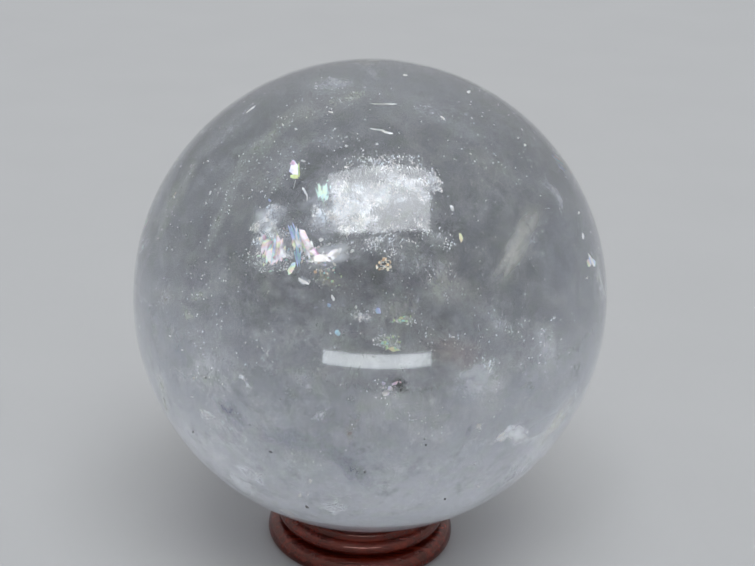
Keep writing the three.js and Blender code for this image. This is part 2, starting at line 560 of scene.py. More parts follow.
dim_cracks = crack_mesh("dim_cracks", [
    (0.64, -0.11, 0.04, 0.03, 10, 0.07, 0.01, 0.45),
    (0.72, -0.17, 0.05, 0.06, 10, 0.07, 0.01, 0.28),
    (-0.21, -0.505, 0.04, 0.02, 20, 0.06, 0.01, 0.6),
    (-0.15, -0.89, 0.07, 0.03, 0, 0.06, 0.01, 0.6),
    (-0.5, -0.755, 0.08, 0.03, -28, 0.06, 0.01, 0.6),
    (-0.17, 0.65, 0.08, 0.05, 10, 0.05, 0.01, 0.4),
    (-0.21, 0.1, 0.04, 0.007, 105, 0.06, 0.01, 1.0, OLIVE),
    (-0.19, 0.07, 0.045, 0.007, 70, 0.06, 0.01, 1.0, OLIVE),
    (-0.17, 0.06, 0.04, 0.006, 140, 0.06, 0.01, 0.9, OLIVE),
    (0.45, -0.35, 0.15, 0.08, 25, 0.12, 0.04, 0.55),
    (0.76, -0.22, 0.06, 0.13, 10, 0.12, 0.03, 0.25),
    (0.36, -0.24, 0.13, 0.08, -10, 0.14, 0.04, 0.45, TAN),
    (0.56, -0.12, 0.13, 0.05, -35, 0.12, 0.03, 0.35),
    (-0.74, 0.0, 0.05, 0.04, 10, 0.1, 0.01, 0.45, GREENISH),
    (-0.77, -0.08, 0.045, 0.035, -30, 0.1, 0.01, 0.45, GREENISH),
    (-0.42, 0.68, 0.26, 0.035, 42, 0.06, 0.01, 0.36, GREENISH),
    (-0.62, 0.36, 0.24, 0.03, 68, 0.06, 0.01, 0.36, GREENISH),
    (-0.8, 0.45, 0.26, 0.04, 62, 0.05, 0.01, 0.3, GREENISH),
    (-0.6, 0.7, 0.22, 0.03, 42, 0.05, 0.01, 0.32),
    (-0.48, 0.6, 0.3, 0.05, 48, 0.07, 0.01, 0.3, GREENISH),
    (-0.38, 0.5, 0.14, 0.02, 58, 0.05, 0.01, 0.35, GREENISH),
    (-0.14, 0.9, 0.1, 0.03, 5, 0.04, 0.01, 0.55),
    (-0.06, 0.84, 0.08, 0.03, 20, 0.04, 0.01, 0.45, GREENISH),
    (-0.87, -0.42, 0.14, 0.018, 100, 0.06, 0.01, 0.45, GREENISH),
    (0.8, -0.52, 0.18, 0.03, 55, 0.06, 0.01, 0.5, CREAM),
    (0.62, -0.74, 0.18, 0.03, 42, 0.06, 0.01, 0.4),
    (-0.22, 0.8, 0.2, 0.06, 15, 0.1, 0.02, 0.35, CREAM),
    (0.3, 0.76, 0.28, 0.07, -22, 0.12, 0.03, 0.3),
    (-0.5, 0.45, 0.2, 0.08, 50, 0.14, 0.03, 0.3, CREAM),
    (-0.35, 0.55, 0.16, 0.1, 30, 0.12, 0.03, 0.3),
    (0.12, -0.08, 0.18, 0.1, 20, 0.18, 0.04, 0.45, CREAM),
    (0.3, 0.05, 0.12, 0.1, 50, 0.16, 0.04, 0.4, CREAM),
    (0.22, 0.14, 0.16, 0.06, -15, 0.12, 0.03, 0.45),
    (-0.18, 0.08, 0.06, 0.07, 10, 0.08, 0.01, 0.5, CREAM),
    (0.5, 0.55, 0.2, 0.08, -40, 0.16, 0.03, 0.25, CREAM),
    (0.0, -0.5, 0.3, 0.12, 0, 0.2, 0.05, 0.25),
    (-0.3, -0.2, 0.26, 0.16, 10, 0.2, 0.05, 0.25),
    (-0.08, -0.57, 0.07, 0.03, 70, 0.05, 0.01, 0.6, TAN),
    (-0.18, 0.88, 0.12, 0.04, 12, 0.04, 0.01, 0.35),
    *strewn_cracks(FAINT_CRACKS, 90, 0.22),
], 13)
mottle = crack_mesh("mottle", [
    (0.0, 0.0, 1.3, 1.3, 0, 0.05, 0.02, 0.4),
    (0.0, 0.0, 1.3, 1.3, 90, 0.12, 0.04, 0.34, CREAM),
], 15)
# Dark sheets: painted shade where the milk is thin and clear stone shows dark, with a few real smoky lines
# and the halo round a dark grain.
shade_and_smoky_sheets = crack_mesh("shade_and_smoky_sheet_mesh", [
    (-0.59, -0.495, 0.1, 0.04, -50, 0.04, 0.01, 0.85, BLUE_PAINTED_SHADE),
    (-0.36, -0.6, 0.14, 0.05, -8, 0.04, 0.01, 0.65, BLUE_PAINTED_SHADE),
    (-0.2, -0.63, 0.12, 0.06, -20, 0.04, 0.01, 0.5, BLUE_PAINTED_SHADE),
    (-0.08, -0.72, 0.13, 0.06, -50, 0.04, 0.01, 0.65, BLUE_PAINTED_SHADE),
    (-0.16, -0.54, 0.08, 0.06, 10, 0.05, 0.01, 0.3, SMOKY_MARKS_AND_SHADE),
    (0.08, 0.1, 0.22, 0.12, 10, 0.3, 0.05, 0.8, SMOKY_MARKS_AND_SHADE),
    (0.28, 0.18, 0.12, 0.14, -20, 0.25, 0.05, 0.75, SMOKY_MARKS_AND_SHADE),
    (-0.12, 0.6, 0.22, 0.06, 8, 0.1, 0.02, 0.6, SMOKY_MARKS_AND_SHADE),
    (-0.29, 0.44, 0.13, 0.05, 50, 0.08, 0.01, 0.6, SMOKY_MARKS_AND_SHADE),
    (-0.24, 0.32, 0.06, 0.07, 20, 0.07, 0.01, 0.6, SMOKY_MARKS_AND_SHADE),
    (-0.3, 0.475, 0.07, 0.012, 43, 0.04, 0.0, 1.0, SMOKY_MARKS_AND_SHADE),
    (0.1, -0.13, 0.2, 0.06, 5, 0.2, 0.03, 0.5, SMOKY_MARKS_AND_SHADE),
    (0.12, -0.372, 0.055, 0.034, -35, 0.03, 0.0, 1.6, SMOKY_MARKS_AND_SHADE),
    (0.42, -0.57, 0.03, 0.014, 70, 0.05, 0.01, 0.35, SMOKY_MARKS_AND_SHADE),
], 12)

haze = crack_mesh("haze", [
    (0.0, 0.0, 1.15, 1.1, 0, 0.5, 0.12, 0.8, HAZE),
    (0.1, -0.1, 1.1, 1.0, 60, 0.62, -0.1, 0.8, HAZE),
    (0.0, 0.45, 0.8, 0.55, 10, 0.2, 0.05, 0.2, HAZE),
], 14, 2)
milk = crack_mesh("milk", [
    (0.0, 0.95, 0.9, 0.35, 0, 0.12, 0.02, 0.2, MILK),
    (0.622, 0.215, 0.24, 0.065, 62, 0.1, 0.02, 0.85, CREAM),
    (-0.55, -0.8, 0.13, 0.06, -28, 0.06, 0.01, 0.45),
    (0.625, -0.585, 0.07, 0.05, 10, 0.06, 0.01, 0.6),
    (0.46, -0.33, 0.13, 0.08, 25, 0.1, 0.02, 0.5),
    (0.38, -0.25, 0.12, 0.07, -10, 0.12, 0.02, 0.4, TAN),
    (0.74, -0.2, 0.06, 0.14, 10, 0.1, 0.02, 0.35),
    (-0.43, 0.32, 0.11, 0.08, 40, 0.05, 0.01, 1.0),
    (-0.175, 0.165, 0.12, 0.06, 14, 0.048, 0.0, 1.6),
    (-0.17, 0.37, 0.2, 0.17, 25, 0.12, 0.01, 1.4),
    (0.08, 0.42, 0.24, 0.16, 5, 0.12, 0.01, 0.6),
    (-0.35, 0.2, 0.15, 0.12, 0, 0.08, 0.01, 0.5),
    (-0.15, 0.34, 0.14, 0.1, 20, 0.055, 0.01, 1.5),
], 16, 2)
set_in_stone("haze", haze, veil_material("haze", 0.20, 0.55, 0.3))
milky = veil_material("milk", 0.05, 0.45, 0.1)
set_in_stone("milk", milk, milky)
set_in_stone("low_cloud_bank", cloud_bank("low_cloud_bank", 0.74, 0.12, 1.0, 81), milky)
set_in_stone("deep_cloud_bank", cloud_bank("deep_cloud_bank", 0.62, 0.20, 0.55, 82), milky)
clouds = veil_material("white_clouds", 0.34, 0.50, 0.5)
set_in_stone("white_clouds", bright_cracks.copy(), clouds)
set_in_stone("mottle", mottle, veil_material("mottle", 0.48, 0.68, 0.7))
set_in_stone("dim_clouds", dim_cracks.copy(), clouds)
# Dark veils: painted shade, with a few real smoky marks.
set_in_stone("painted_shade_and_smoky_marks", shade_and_smoky_sheets, veil_material("shade_and_smoky_veil", 0.34, 0.56, 0.3))
pockets("bright_pockets", bright_cracks, BRIGHT_DENSITY, 31)
pockets("dim_pockets", dim_cracks, DIM_DENSITY, 32)
for spin in HIDDEN_SPINS:
    side_cracks = crack_mesh("side_cracks", strewn_cracks(SIDE_CRACKS, spin, 0.9), spin, spin=spin)
    set_in_stone(f"side_clouds_{spin}", side_cracks.copy(), clouds)
    pockets(f"side_pockets_{spin}", side_cracks, SIDE_DENSITY, spin)


# Crystal dust. Grains of white and clear mineral, finer than salt, that the crystal closed round as it
# grew. They crowd near the polished face, in drifts.
DUST_COUNT = 9000
DUST_SMALLEST = 0.00002
DUST_LARGEST = 0.00012
DUST_DRIFT = 2.6


def dust_tree():
    tree, given = growing_tree("crystal_dust", {
        "Count": "Int",
        "Reach": "Float",
        "Centre": "Vector",
        "Smallest": "Float",
        "Largest": "Float",
        "Drift": "Float",
        "Material": "Material",
    })
    way = random_draw(tree, 5, "FLOAT_VECTOR", Min=(-1,) * 3, Max=(1,) * 3)
    unit = worked(tree, "ShaderNodeVectorMath", "NORMALIZE", way)
    draw = random_draw(tree, 6)
    out_share = node(tree, "ShaderNodeMapRange", Value=times(tree, draw, draw), To_Min=1.0, To_Max=0.45)
    spread = worked(tree, "ShaderNodeVectorMath", "SCALE", unit)
    fill(tree, spread.inputs["Scale"], out_share)
    grains = node(tree, "GeometryNodePoints", Count=given["Count"], Position=spread)
    drift = noise_node(tree, Scale=given["Drift"], Detail=3.0)
    crowd = node(tree, "ShaderNodeMapRange", Value=drift, From_Min=0.38, From_Max=0.68, To_Min=0.12)
    kept = thinned(tree, grains, 7, crowd)
    sized = node(tree, "GeometryNodeTransform", Geometry=kept, Translation=given["Centre"])
    fill(tree, sized.inputs["Scale"], given["Reach"])
    size = mostly_small(tree, 8, given)
    turn = random_draw(tree, 9, "FLOAT_VECTOR", Max=(math.tau,) * 3)
    spin = node(tree, "FunctionNodeEulerToRotation", Euler=turn)
    crystal = node(tree, "GeometryNodeMeshCone", Vertices=4, Radius_Bottom=1.0, Depth=1.1)
    scale = node(tree, "ShaderNodeCombineXYZ", X=size, Y=size, Z=size)
    placed = node(tree, "GeometryNodeInstanceOnPoints", Points=sized, Instance=crystal,
                  Rotation=spin, Scale=scale)
    return ended(tree, placed, given["Material"])


dust = grown("crystal_dust", dust_tree(), {
    "Count": DUST_COUNT,
    "Reach": RADIUS * INNER_LIMIT,
    "Centre": CENTRE,
    "Smallest": DUST_SMALLEST,
    "Largest": DUST_LARGEST,
    "Drift": DUST_DRIFT,
    "Material": pocket_crystals,
})
keep_in_stone(dust)


# Cleavage flakes and glints. Calcite splits along flat planes. Where a small split holds a film of air
# it acts as a mirror, and flashes white or in rainbow bands. They are thin slips with broken edges.
FLAKE_SPOKES = 10
FLAKE_THICKNESS = 0.00012
FLAKE_BROKEN = 0.6
BROKEN_SCALE = 1.8
SPOKE_STRAY = 0.35
FILM_SWEEP = 0.06
GLINT_DEPTH = 0.02
SPRINKLE_SIZES = (0.25, 1)
SPRINKLE_SLIMNESS = (0.3, 0.9)
SPRINKLE_DEPTHS = 0.01
COMB_STAGGER = 0.2
COMB_HEIGHTS = (0.7, 1.1)
COMB_WIDTHS = (0.8, 1.7)
COMB_TURNS = 10
COMB_DEPTHS = 0.004
FILM = [
    (0.0, (1.0, 1.0, 1.0)), (0.1, (1.0, 0.95, 0.9)), (0.2, (0.9, 0.84, 1.0)),
    (0.3, (0.35, 0.45, 1.0)), (0.4, (0.4, 0.78, 1.0)), (0.5, (0.45, 1.0, 0.8)),
    (0.6, (0.8, 1.0, 0.45)), (0.7, (1.0, 0.95, 0.45)), (0.8, (1.0, 0.6, 0.4)),
    (0.9, (1.0, 0.6, 0.85)), (1.0, (1.0, 0.97, 1.0)),
]
ALL_BANDS = (0.0, 1.0)
WHITE_BANDS = (0.0, 0.07)
PEARL_BANDS = (0.02, 0.20)
BLUE_BANDS = (0.28, 0.42)
GREEN_BANDS = (0.48, 0.68)
AQUA_BANDS = (0.46, 0.54)
PINK_BANDS = (0.86, 0.93)
GOLD = [
    (0.2, (1.0, 0.9, 0.74)), (0.45, (0.5, 0.28, 0.14)),
    (0.6, (1.0, 0.95, 0.86)), (0.8, (0.92, 0.66, 0.4)),
]


def film_material(name, colours, waves, roughness, wander=0.3, paleness=0.0):
    """A thin film of air. Its colours follow the band of each slip, wander from it and pale to white."""
    material, tree, skin, place = shader(name)
    band = node(tree, "ShaderNodeAttribute", {"attribute_name": "band"}).outputs["Fac"]
    drift = noise_node(tree, Vector=place, Scale=waves, Detail=2.5, Distortion=0.6)
    moved = worked(tree, "ShaderNodeMath", "MULTIPLY_ADD", drift, wander, -wander / 2)
    film = worked(tree, "ShaderNodeMath", "PINGPONG", worked(tree, "ShaderNodeMath", "ADD", band, moved), 1.0)
    shown = node(tree, "ShaderNodeMix", {"data_type": "RGBA"}, Factor=paleness, A=ramp(tree, film, colours),
                 B=(1, 1, 1, 1))
    fill(tree, skin.inputs["Base Color"], shown)
    skin.inputs["Metallic"].default_value = 0.85
    skin.inputs["Roughness"].default_value = roughness
    return material


def sprinkle(across, up, half_wide, half_tall, count, largest, depth, seed):
    """A loose cluster of small slips."""
    chance = random.Random(seed)
    slips = []
    for _ in range(count):
        angle, out = chance.uniform(0, math.tau), math.sqrt(chance.random())
        size = largest * chance.uniform(*SPRINKLE_SIZES)
        slips.append((
            across + half_wide * out * math.cos(angle), up + half_tall * out * math.sin(angle),
            size, size * chance.uniform(*SPRINKLE_SLIMNESS), chance.uniform(0, 180),
            depth + chance.uniform(-SPRINKLE_DEPTHS, SPRINKLE_DEPTHS),
        ))
    return slips


def comb(across, up, half_wide, half_tall, turn, count, depth, seed):
    """Slivers side by side, as where a split climbs in steps."""
    chance = random.Random(seed)
    cosine, sine = math.cos(math.radians(turn)), math.sin(math.radians(turn))
    slips = []
    for i in range(count):
        x = half_wide * (2 * (i + 0.5) / count - 1)
        y = half_tall * chance.uniform(-COMB_STAGGER, COMB_STAGGER)
        tall = half_tall * math.sqrt(1 - (x / half_wide) ** 2) * chance.uniform(*COMB_HEIGHTS)
        slips.append((
            across + x * cosine - y * sine, up + x * sine + y * cosine,
            half_wide / count * chance.uniform(*COMB_WIDTHS), tall,
            turn + chance.uniform(-COMB_TURNS, COMB_TURNS),
            depth + chance.uniform(-COMB_DEPTHS, COMB_DEPTHS),
        ))
    return slips


def glints(marks, depth=GLINT_DEPTH):
    """Slips that lie level just under the polished face, where a mark has no turn or depth of its own."""
    return [(*mark, *(0, depth)[len(mark) - 4:]) for mark in marks]


def flakes(name, slips, seed, material, bands, sway=0.12, spin=0, thickness=FLAKE_THICKNESS):
    """One piece of many slips: across, up, half length, half breadth, turn, depth and maybe an own band."""
    chance = random.Random(seed)
    points, faces, shades = [], [], []
    for across, up, half_long, half_broad, turn, depth, *own_band in slips:
        first = len(points)
        phase = chance_vector(chance, *NOISE_REACH)
        band = own_band[0] if own_band else chance.uniform(*bands)
        sweep = chance.uniform(-FILM_SWEEP, FILM_SWEEP)
        cosine, sine = math.cos(math.radians(turn)), math.sin(math.radians(turn))
        middle = inside(across, up, depth)
        facing = (facing_lamp(across, up) + chance_vector(chance, -sway, sway)).normalized()
        ring = []
        for spoke in range(FLAKE_SPOKES):
            angle = math.tau * (spoke + chance.uniform(-SPOKE_STRAY, SPOKE_STRAY)) / FLAKE_SPOKES
            edge = Vector((math.cos(angle), math.sin(angle), 0))
            broken = 1 + FLAKE_BROKEN * noise.noise(edge * BROKEN_SCALE + phase)
            x, y = half_long * broken * edge.x, half_broad * broken * edge.y
            seen = inside(across + x * cosine - y * sine, up + x * sine + y * cosine, depth)
            ring.append(seen - facing * (seen - middle).dot(facing))
            shades.append(band + sweep * edge.x)
        shades += [band, band]
        ends = [middle + facing * thickness / 2, middle - facing * thickness / 2]
        points += [swung(point, spin) for point in (*ring, *ends)]
        over, under = first + FLAKE_SPOKES, first + FLAKE_SPOKES + 1
        for spoke in range(FLAKE_SPOKES):
            a, b = first + spoke, first + (spoke + 1) % FLAKE_SPOKES
            faces += [(over, a, b), (under, b, a)]
    mesh = new_mesh(name, points, faces)
    keep_values(mesh, "band", "FLOAT", shades)
    set_in_stone(name, mesh, material)


coloured_film = film_material("coloured_film", FILM, 700.0, 0.5, 0.3, 0.3)
opal_film = film_material("opal_film", FILM, 650.0, 0.45, 1.5, 0.5)
white_film = film_material("white_film", FILM, 500.0, 0.4)

flakes("rainbow_flakes", [
    (-0.405, 0.2, 0.046, 0.062, -14, 0.04, 0.85),
    *comb(-0.405, 0.2, 0.05, 0.066, -14, 7, 0.037, 61),
    *comb(-0.39, 0.165, 0.036, 0.04, 20, 4, 0.034, 62),
    (-0.268, 0.225, 0.016, 0.052, 24, 0.04, 0.92),
    (-0.333, 0.112, 0.012, 0.026, -28, 0.04, 0.75),
    *comb(0.933, 0.141, 0.016, 0.036, 14, 4, 0.03, 63),
    *comb(-0.3, 0.235, 0.03, 0.06, 10, 5, 0.042, 65),
    *comb(-0.43, 0.255, 0.04, 0.03, 40, 5, 0.04, 86),
    *sprinkle(-0.38, 0.19, 0.1, 0.1, 30, 0.01, 0.045, 41),
    *sprinkle(-0.24, 0.16, 0.06, 0.05, 20, 0.01, 0.045, 66),
], 21, opal_film, ALL_BANDS, 0.05)
flakes("pearl_flakes", [
    *comb(-0.195, 0.16, 0.08, 0.022, 12, 9, 0.04, 75),
    *comb(-0.15, 0.172, 0.04, 0.02, 35, 6, 0.038, 76),
    *comb(-0.262, 0.205, 0.02, 0.05, 18, 4, 0.045, 67),
    (0.057, -0.372, 0.01, 0.008, -30, 0.03),
    (0.068, -0.411, 0.018, 0.014, 60, 0.03),
    (0.085, -0.392, 0.012, 0.01, 20, 0.03),
    *sprinkle(0.085, -0.395, 0.035, 0.03, 16, 0.007, 0.03, 77),
    *sprinkle(-0.2, 0.18, 0.13, 0.07, 22, 0.01, 0.045, 42),
    *sprinkle(0.265, 0.5, 0.035, 0.045, 26, 0.008, 0.03, 43),
    *sprinkle(0.02, 0.285, 0.22, 0.022, 36, 0.005, 0.03, 44),
    *sprinkle(0.03, 0.4, 0.26, 0.12, 70, 0.006, 0.035, 45),
], 22, white_film, PEARL_BANDS)
flakes("mirror_flakes", [
    (-0.319, 0.533, 0.018, 0.034, 4, 0.04, 0.19),
    (-0.326, 0.56, 0.011, 0.008, 10, 0.036, 0.9),
    (-0.319, 0.502, 0.018, 0.009, -4, 0.036, 0.64),
    (-0.3, 0.53, 0.004, 0.03, 2, 0.036, 0.64),
    (-0.43, 0.319, 0.012, 0.008, 20, 0.04),
    *comb(-0.452, 0.225, 0.012, 0.04, -12, 3, 0.036, 78),
    *comb(-0.425, 0.262, 0.03, 0.01, 30, 3, 0.036, 79),
    (-0.207, 0.236, 0.012, 0.009, 0, 0.03),
    (-0.283, 0.061, 0.024, 0.009, -28, 0.04),
    (-0.276, 0.44, 0.005, 0.022, 30, 0.03),
    (-0.266, 0.415, 0.004, 0.016, 5, 0.03),
    (-0.13, 0.19, 0.014, 0.008, 40, 0.034),
    *sprinkle(-0.12, 0.35, 0.08, 0.07, 90, 0.007, 0.03, 73),
    *sprinkle(0.12, 0.46, 0.07, 0.04, 60, 0.006, 0.03, 74),
    (-0.195, 0.158, 0.044, 0.019, 14, 0.036, 0.1),
    (-0.15, 0.182, 0.03, 0.013, 34, 0.034, 0.12),
    (-0.228, 0.178, 0.012, 0.03, 40, 0.037, 0.95),
], 29, white_film, WHITE_BANDS, 0.03)
flakes("pink_flakes", [
    (0.105, -0.372, 0.016, 0.006, 30, 0.03),
    (0.128, -0.368, 0.004, 0.01, 10, 0.03),
    (-0.445, 0.245, 0.008, 0.012, -20, 0.034),
    *sprinkle(-0.41, 0.19, 0.04, 0.05, 8, 0.009, 0.034, 80),
], 30, coloured_film, PINK_BANDS)
flakes("blue_flakes", [
    *comb(-0.318, 0.262, 0.018, 0.044, 10, 4, 0.038, 68),
    *comb(-0.305, 0.165, 0.014, 0.048, 4, 4, 0.038, 69),
    (-0.42, 0.275, 0.01, 0.02, 0, 0.05),
    (0.034, -0.065, 0.012, 0.015, 20, 0.06),
    (-0.135, -0.158, 0.01, 0.014, 30, 0.06),
    (-0.173, -0.04, 0.008, 0.01, 30, 0.06),
    *sprinkle(-0.43, 0.33, 0.05, 0.08, 6, 0.01, 0.05, 70),
], 23, coloured_film, BLUE_BANDS, 0.06)
flakes("aqua_flakes", [
    *comb(-0.2025, 0.436, 0.024, 0.044, 8, 6, 0.034, 71),
    *comb(-0.192, 0.425, 0.02, 0.026, -35, 4, 0.033, 82),
    *sprinkle(-0.195, 0.44, 0.04, 0.05, 12, 0.006, 0.035, 72),
], 28, film_material("mint_film", FILM, 700.0, 0.45, 0.3, 0.55), AQUA_BANDS, 0.02, thickness=0.00003)
flakes("green_flakes", [
    (0.384, 0.243, 0.009, 0.02, 12, 0.04),
    (0.101, -0.226, 0.022, 0.01, -10, 0.05),
    (0.131, -0.095, 0.012, 0.007, 0, 0.05),
    *sprinkle(0.13, -0.1, 0.05, 0.02, 12, 0.009, 0.05, 46),
    *sprinkle(0.1, -0.2, 0.05, 0.03, 20, 0.009, 0.05, 47),
    *sprinkle(-0.16, 0.08, 0.05, 0.05, 14, 0.007, 0.05, 48),
], 24, coloured_film, GREEN_BANDS)
flakes("gold_specks", [
    *sprinkle(0.059, 0.128, 0.032, 0.03, 36, 0.008, 0.03, 49),
    *sprinkle(-0.2, 0.11, 0.05, 0.02, 12, 0.008, 0.05, 50),
], 25, film_material("gold_film", GOLD, 900.0, 0.4), ALL_BANDS, 0.05, thickness=0.00004)
flakes("white_glints", [
    *glints([
        (0.0575, 0.808, 0.056, 0.003), (0.03, 0.7, 0.034, 0.003, -6), (0.075, 0.688, 0.03, 0.004, -12),
        (-0.283, 0.568, 0.01, 0.005, -5, 0.03), (-0.318, 0.47, 0.002, 0.02, -15, 0.03),
        (0.346, 0.369, 0.006, 0.012, 25, 0.03), (-0.101, 0.631, 0.009, 0.006, 10),
        (-0.101, 0.669, 0.008, 0.004, 20), (-0.16, 0.665, 0.005, 0.004), (0.03, 0.639, 0.006, 0.005),
        (-0.6835, 0.5675, 0.005, 0.005), (-0.827, 0.416, 0.005, 0.006), (-0.553, 0.589, 0.004, 0.004),
        (-0.675, 0.432, 0.004, 0.01, -20), (-0.692, 0.39, 0.005, 0.006), (-0.43, 0.521, 0.008, 0.004),
        (-0.165, 0.774, 0.01, 0.004, -10), (-0.312, 0.7025, 0.006, 0.005), (-0.367, 0.719, 0.005, 0.005),
        (-0.692, 0.141, 0.005, 0.004), (-0.502, 0.787, 0.03, 0.003, 38), (0.418, 0.859, 0.008, 0.006),
        (0.308, 0.749, 0.014, 0.004, -40), (0.654, 0.635, 0.006, 0.006), (0.6245, 0.665, 0.005, 0.005),
        (0.148, 0.93, 0.01, 0.004, -8), (-0.844, -0.171, 0.005, 0.004), (-0.743, -0.348, 0.005, 0.005),
        (-0.793, -0.23, 0.004, 0.004), (-0.751, -0.428, 0.008, 0.003), (-0.253, -0.783, 0.008, 0.009),
        (-0.295, -0.842, 0.008, 0.008), (-0.262, -0.842, 0.005, 0.005), (0.456, -0.808, 0.008, 0.006),
        (0.443, -0.711, 0.005, 0.004), (0.899, 0.251, 0.005, 0.014, 12), (0.882, 0.348, 0.006, 0.006),
        (0.916, 0.074, 0.006, 0.006), (-0.156, -0.01, 0.006, 0.016, 20, 0.03),
        (-0.059, -0.048, 0.006, 0.008, 20, 0.03), (0.329, -0.032, 0.006, 0.004, 0, 0.03),
        (0.35, -0.175, 0.01, 0.004, 0, 0.03), (0.46, -0.141, 0.002, 0.018, 12, 0.03),
        (0.456, -0.551, 0.013, 0.01, 30), (0.462, -0.56, 0.012, 0.004, -30),
    ]),
    *sprinkle(0.46, -0.555, 0.02, 0.02, 8, 0.004, 0.02, 84),
    *sprinkle(0.062, 0.134, 0.026, 0.022, 12, 0.006, 0.024, 85),
    (0.555, -0.59, 0.03, 0.005, 38, 0.02),
    (-0.35, -0.915, 0.04, 0.007, -23, 0.06),
    *sprinkle(-0.55, 0.45, 0.4, 0.45, 34, 0.004, 0.02, 51),
    *sprinkle(0.45, 0.6, 0.35, 0.3, 40, 0.004, 0.02, 52),
    *sprinkle(0.72, -0.2, 0.07, 0.1, 12, 0.005, 0.03, 53),
    *sprinkle(0.0, -0.55, 0.7, 0.35, 50, 0.003, 0.02, 54),
    *sprinkle(0.1, 0.0, 0.3, 0.2, 40, 0.004, 0.04, 55),
], 26, white_film, WHITE_BANDS)

for spin in HIDDEN_SPINS:
    flakes(f"side_colours_{spin}", [
        *comb(-0.3, 0.35, 0.05, 0.06, 20, 6, 0.04, spin),
        *comb(0.4, -0.1, 0.03, 0.05, -30, 4, 0.05, spin + 1),
        *sprinkle(-0.25, 0.3, 0.15, 0.12, 18, 0.014, 0.04, spin + 2),
        *sprinkle(0.3, 0.1, 0.4, 0.4, 12, 0.014, 0.06, spin + 3),
    ], spin + 4, coloured_film, ALL_BANDS, spin=spin)
    flakes(f"side_glints_{spin}", [
        *sprinkle(-0.1, 0.3, 0.55, 0.5, 50, 0.009, 0.03, spin + 5),
        *sprinkle(0.1, -0.4, 0.6, 0.4, 30, 0.006, 0.03, spin + 6),
    ], spin + 7, white_film, PEARL_BANDS, spin=spin)


# Dark specks. Grains of another mineral, and dark slips just under the face that paint the shade in tiny open
# pits.
GRAIN_AND_PIT_SHADE = [(0.3, (0.02, 0.02, 0.025)), (0.7, (0.10, 0.09, 0.09))]
PIT_DEPTH = 0.01

flakes("dark_specks", [
    (0.125, -0.376, 0.011, 0.008, 20, 0.02),
    (0.132, -0.398, 0.008, 0.006, 60, 0.02),
    *sprinkle(0.059, 0.125, 0.022, 0.02, 10, 0.006, 0.024, 83),
    # Painted shade: these dark slips stand where tiny open pits are.
    *glints([
        (0.232, -0.6055, 0.005, 0.004), (0.236, -0.631, 0.005, 0.004, 30), (-0.021, -0.745, 0.005, 0.004),
        (-0.3755, -0.437, 0.004, 0.004), (-0.692, -0.348, 0.004, 0.005), (-0.747, -0.576, 0.004, 0.005),
        (-0.266, -0.892, 0.01, 0.005, -30), (0.3165, -0.859, 0.005, 0.004), (0.014, -0.257, 0.005, 0.004),
        (-0.42, -0.66, 0.01, 0.004, -20),
    ], PIT_DEPTH),
], 27, film_material("dark_grain_and_pit_shade", GRAIN_AND_PIT_SHADE, 900.0, 0.5), ALL_BANDS)


# The ring stand. One piece of hardwood turned on a lathe: a low domed foot, a groove, a round bead, and a
# flat-topped lip round the dish that carries the stone. It is stained red brown under a clear lacquer.
stand_low, stand_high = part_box("ring_stand")
FOOT_RADIUS = (stand_high.x - stand_low.x) / 2
RIM_HEIGHT = stand_high.z
FOOT_EDGE_HEIGHT = 0.0010
FOOT_EDGE_ROUND = 0.0008
FOOT_TOP_RADIUS = 0.0146
GROOVE_RADIUS = 0.0136
GROOVE_LOW = 0.0033
GROOVE_HIGH = 0.0036
BEAD_RADIUS = 0.0151
BEAD_HEIGHT = 0.00495
BEAD_TOP = 0.0063
LIP_RADIUS = 0.0140
LIP_ROUND = 0.0004
RIM_RADIUS = 0.0096
SEAT_GAP = 0.0003
ARC_STEPS = 16
ROUND_STEPS = 256
SHARP_ANGLE = math.radians(40)
WOOD_DEEP = (0.022, 0.002, 0.001)
WOOD_WARM = (0.090, 0.008, 0.004)
WOOD_PALE = (0.190, 0.022, 0.009)
LACQUER_TINT = (1.0, 0.50, 0.42, 1)


def arc(radius, height, half_width, half_height, start, stop):
    """Points on an ellipse about (radius, height), from one angle to another in degrees."""
    angles = [math.radians(start + (stop - start) * i / ARC_STEPS) for i in range(ARC_STEPS + 1)]
    return [(radius + half_width * math.cos(a), height + half_height * math.sin(a)) for a in angles]


def stand_profile():
    edge = arc(FOOT_RADIUS - FOOT_EDGE_ROUND, FOOT_EDGE_HEIGHT, FOOT_EDGE_ROUND, FOOT_EDGE_HEIGHT, -90, 0)
    dome_wide, dome_tall = FOOT_RADIUS - FOOT_TOP_RADIUS, GROOVE_LOW - FOOT_EDGE_HEIGHT
    dome = arc(FOOT_TOP_RADIUS, FOOT_EDGE_HEIGHT, dome_wide, dome_tall, 0, 90)
    swell = arc(GROOVE_RADIUS, BEAD_HEIGHT, BEAD_RADIUS - GROOVE_RADIUS, BEAD_HEIGHT - GROOVE_HIGH, -90, 0)
    shoulder = arc(LIP_RADIUS, BEAD_HEIGHT, BEAD_RADIUS - LIP_RADIUS, BEAD_TOP - BEAD_HEIGHT, 0, 90)
    lip = arc(LIP_RADIUS - LIP_ROUND, RIM_HEIGHT - LIP_ROUND, LIP_ROUND, LIP_ROUND, 0, 90)
    dish_radius = RADIUS + SEAT_GAP
    rim_angle = math.asin(RIM_RADIUS / dish_radius)
    dish_angles = [rim_angle * (1 - i / ARC_STEPS) for i in range(ARC_STEPS)]
    dish = [(dish_radius * math.sin(a), CENTRE.z - dish_radius * math.cos(a)) for a in dish_angles]
    return [*edge, *dome[1:], (GROOVE_RADIUS, GROOVE_LOW), *swell, *shoulder[1:], *lip, *dish]


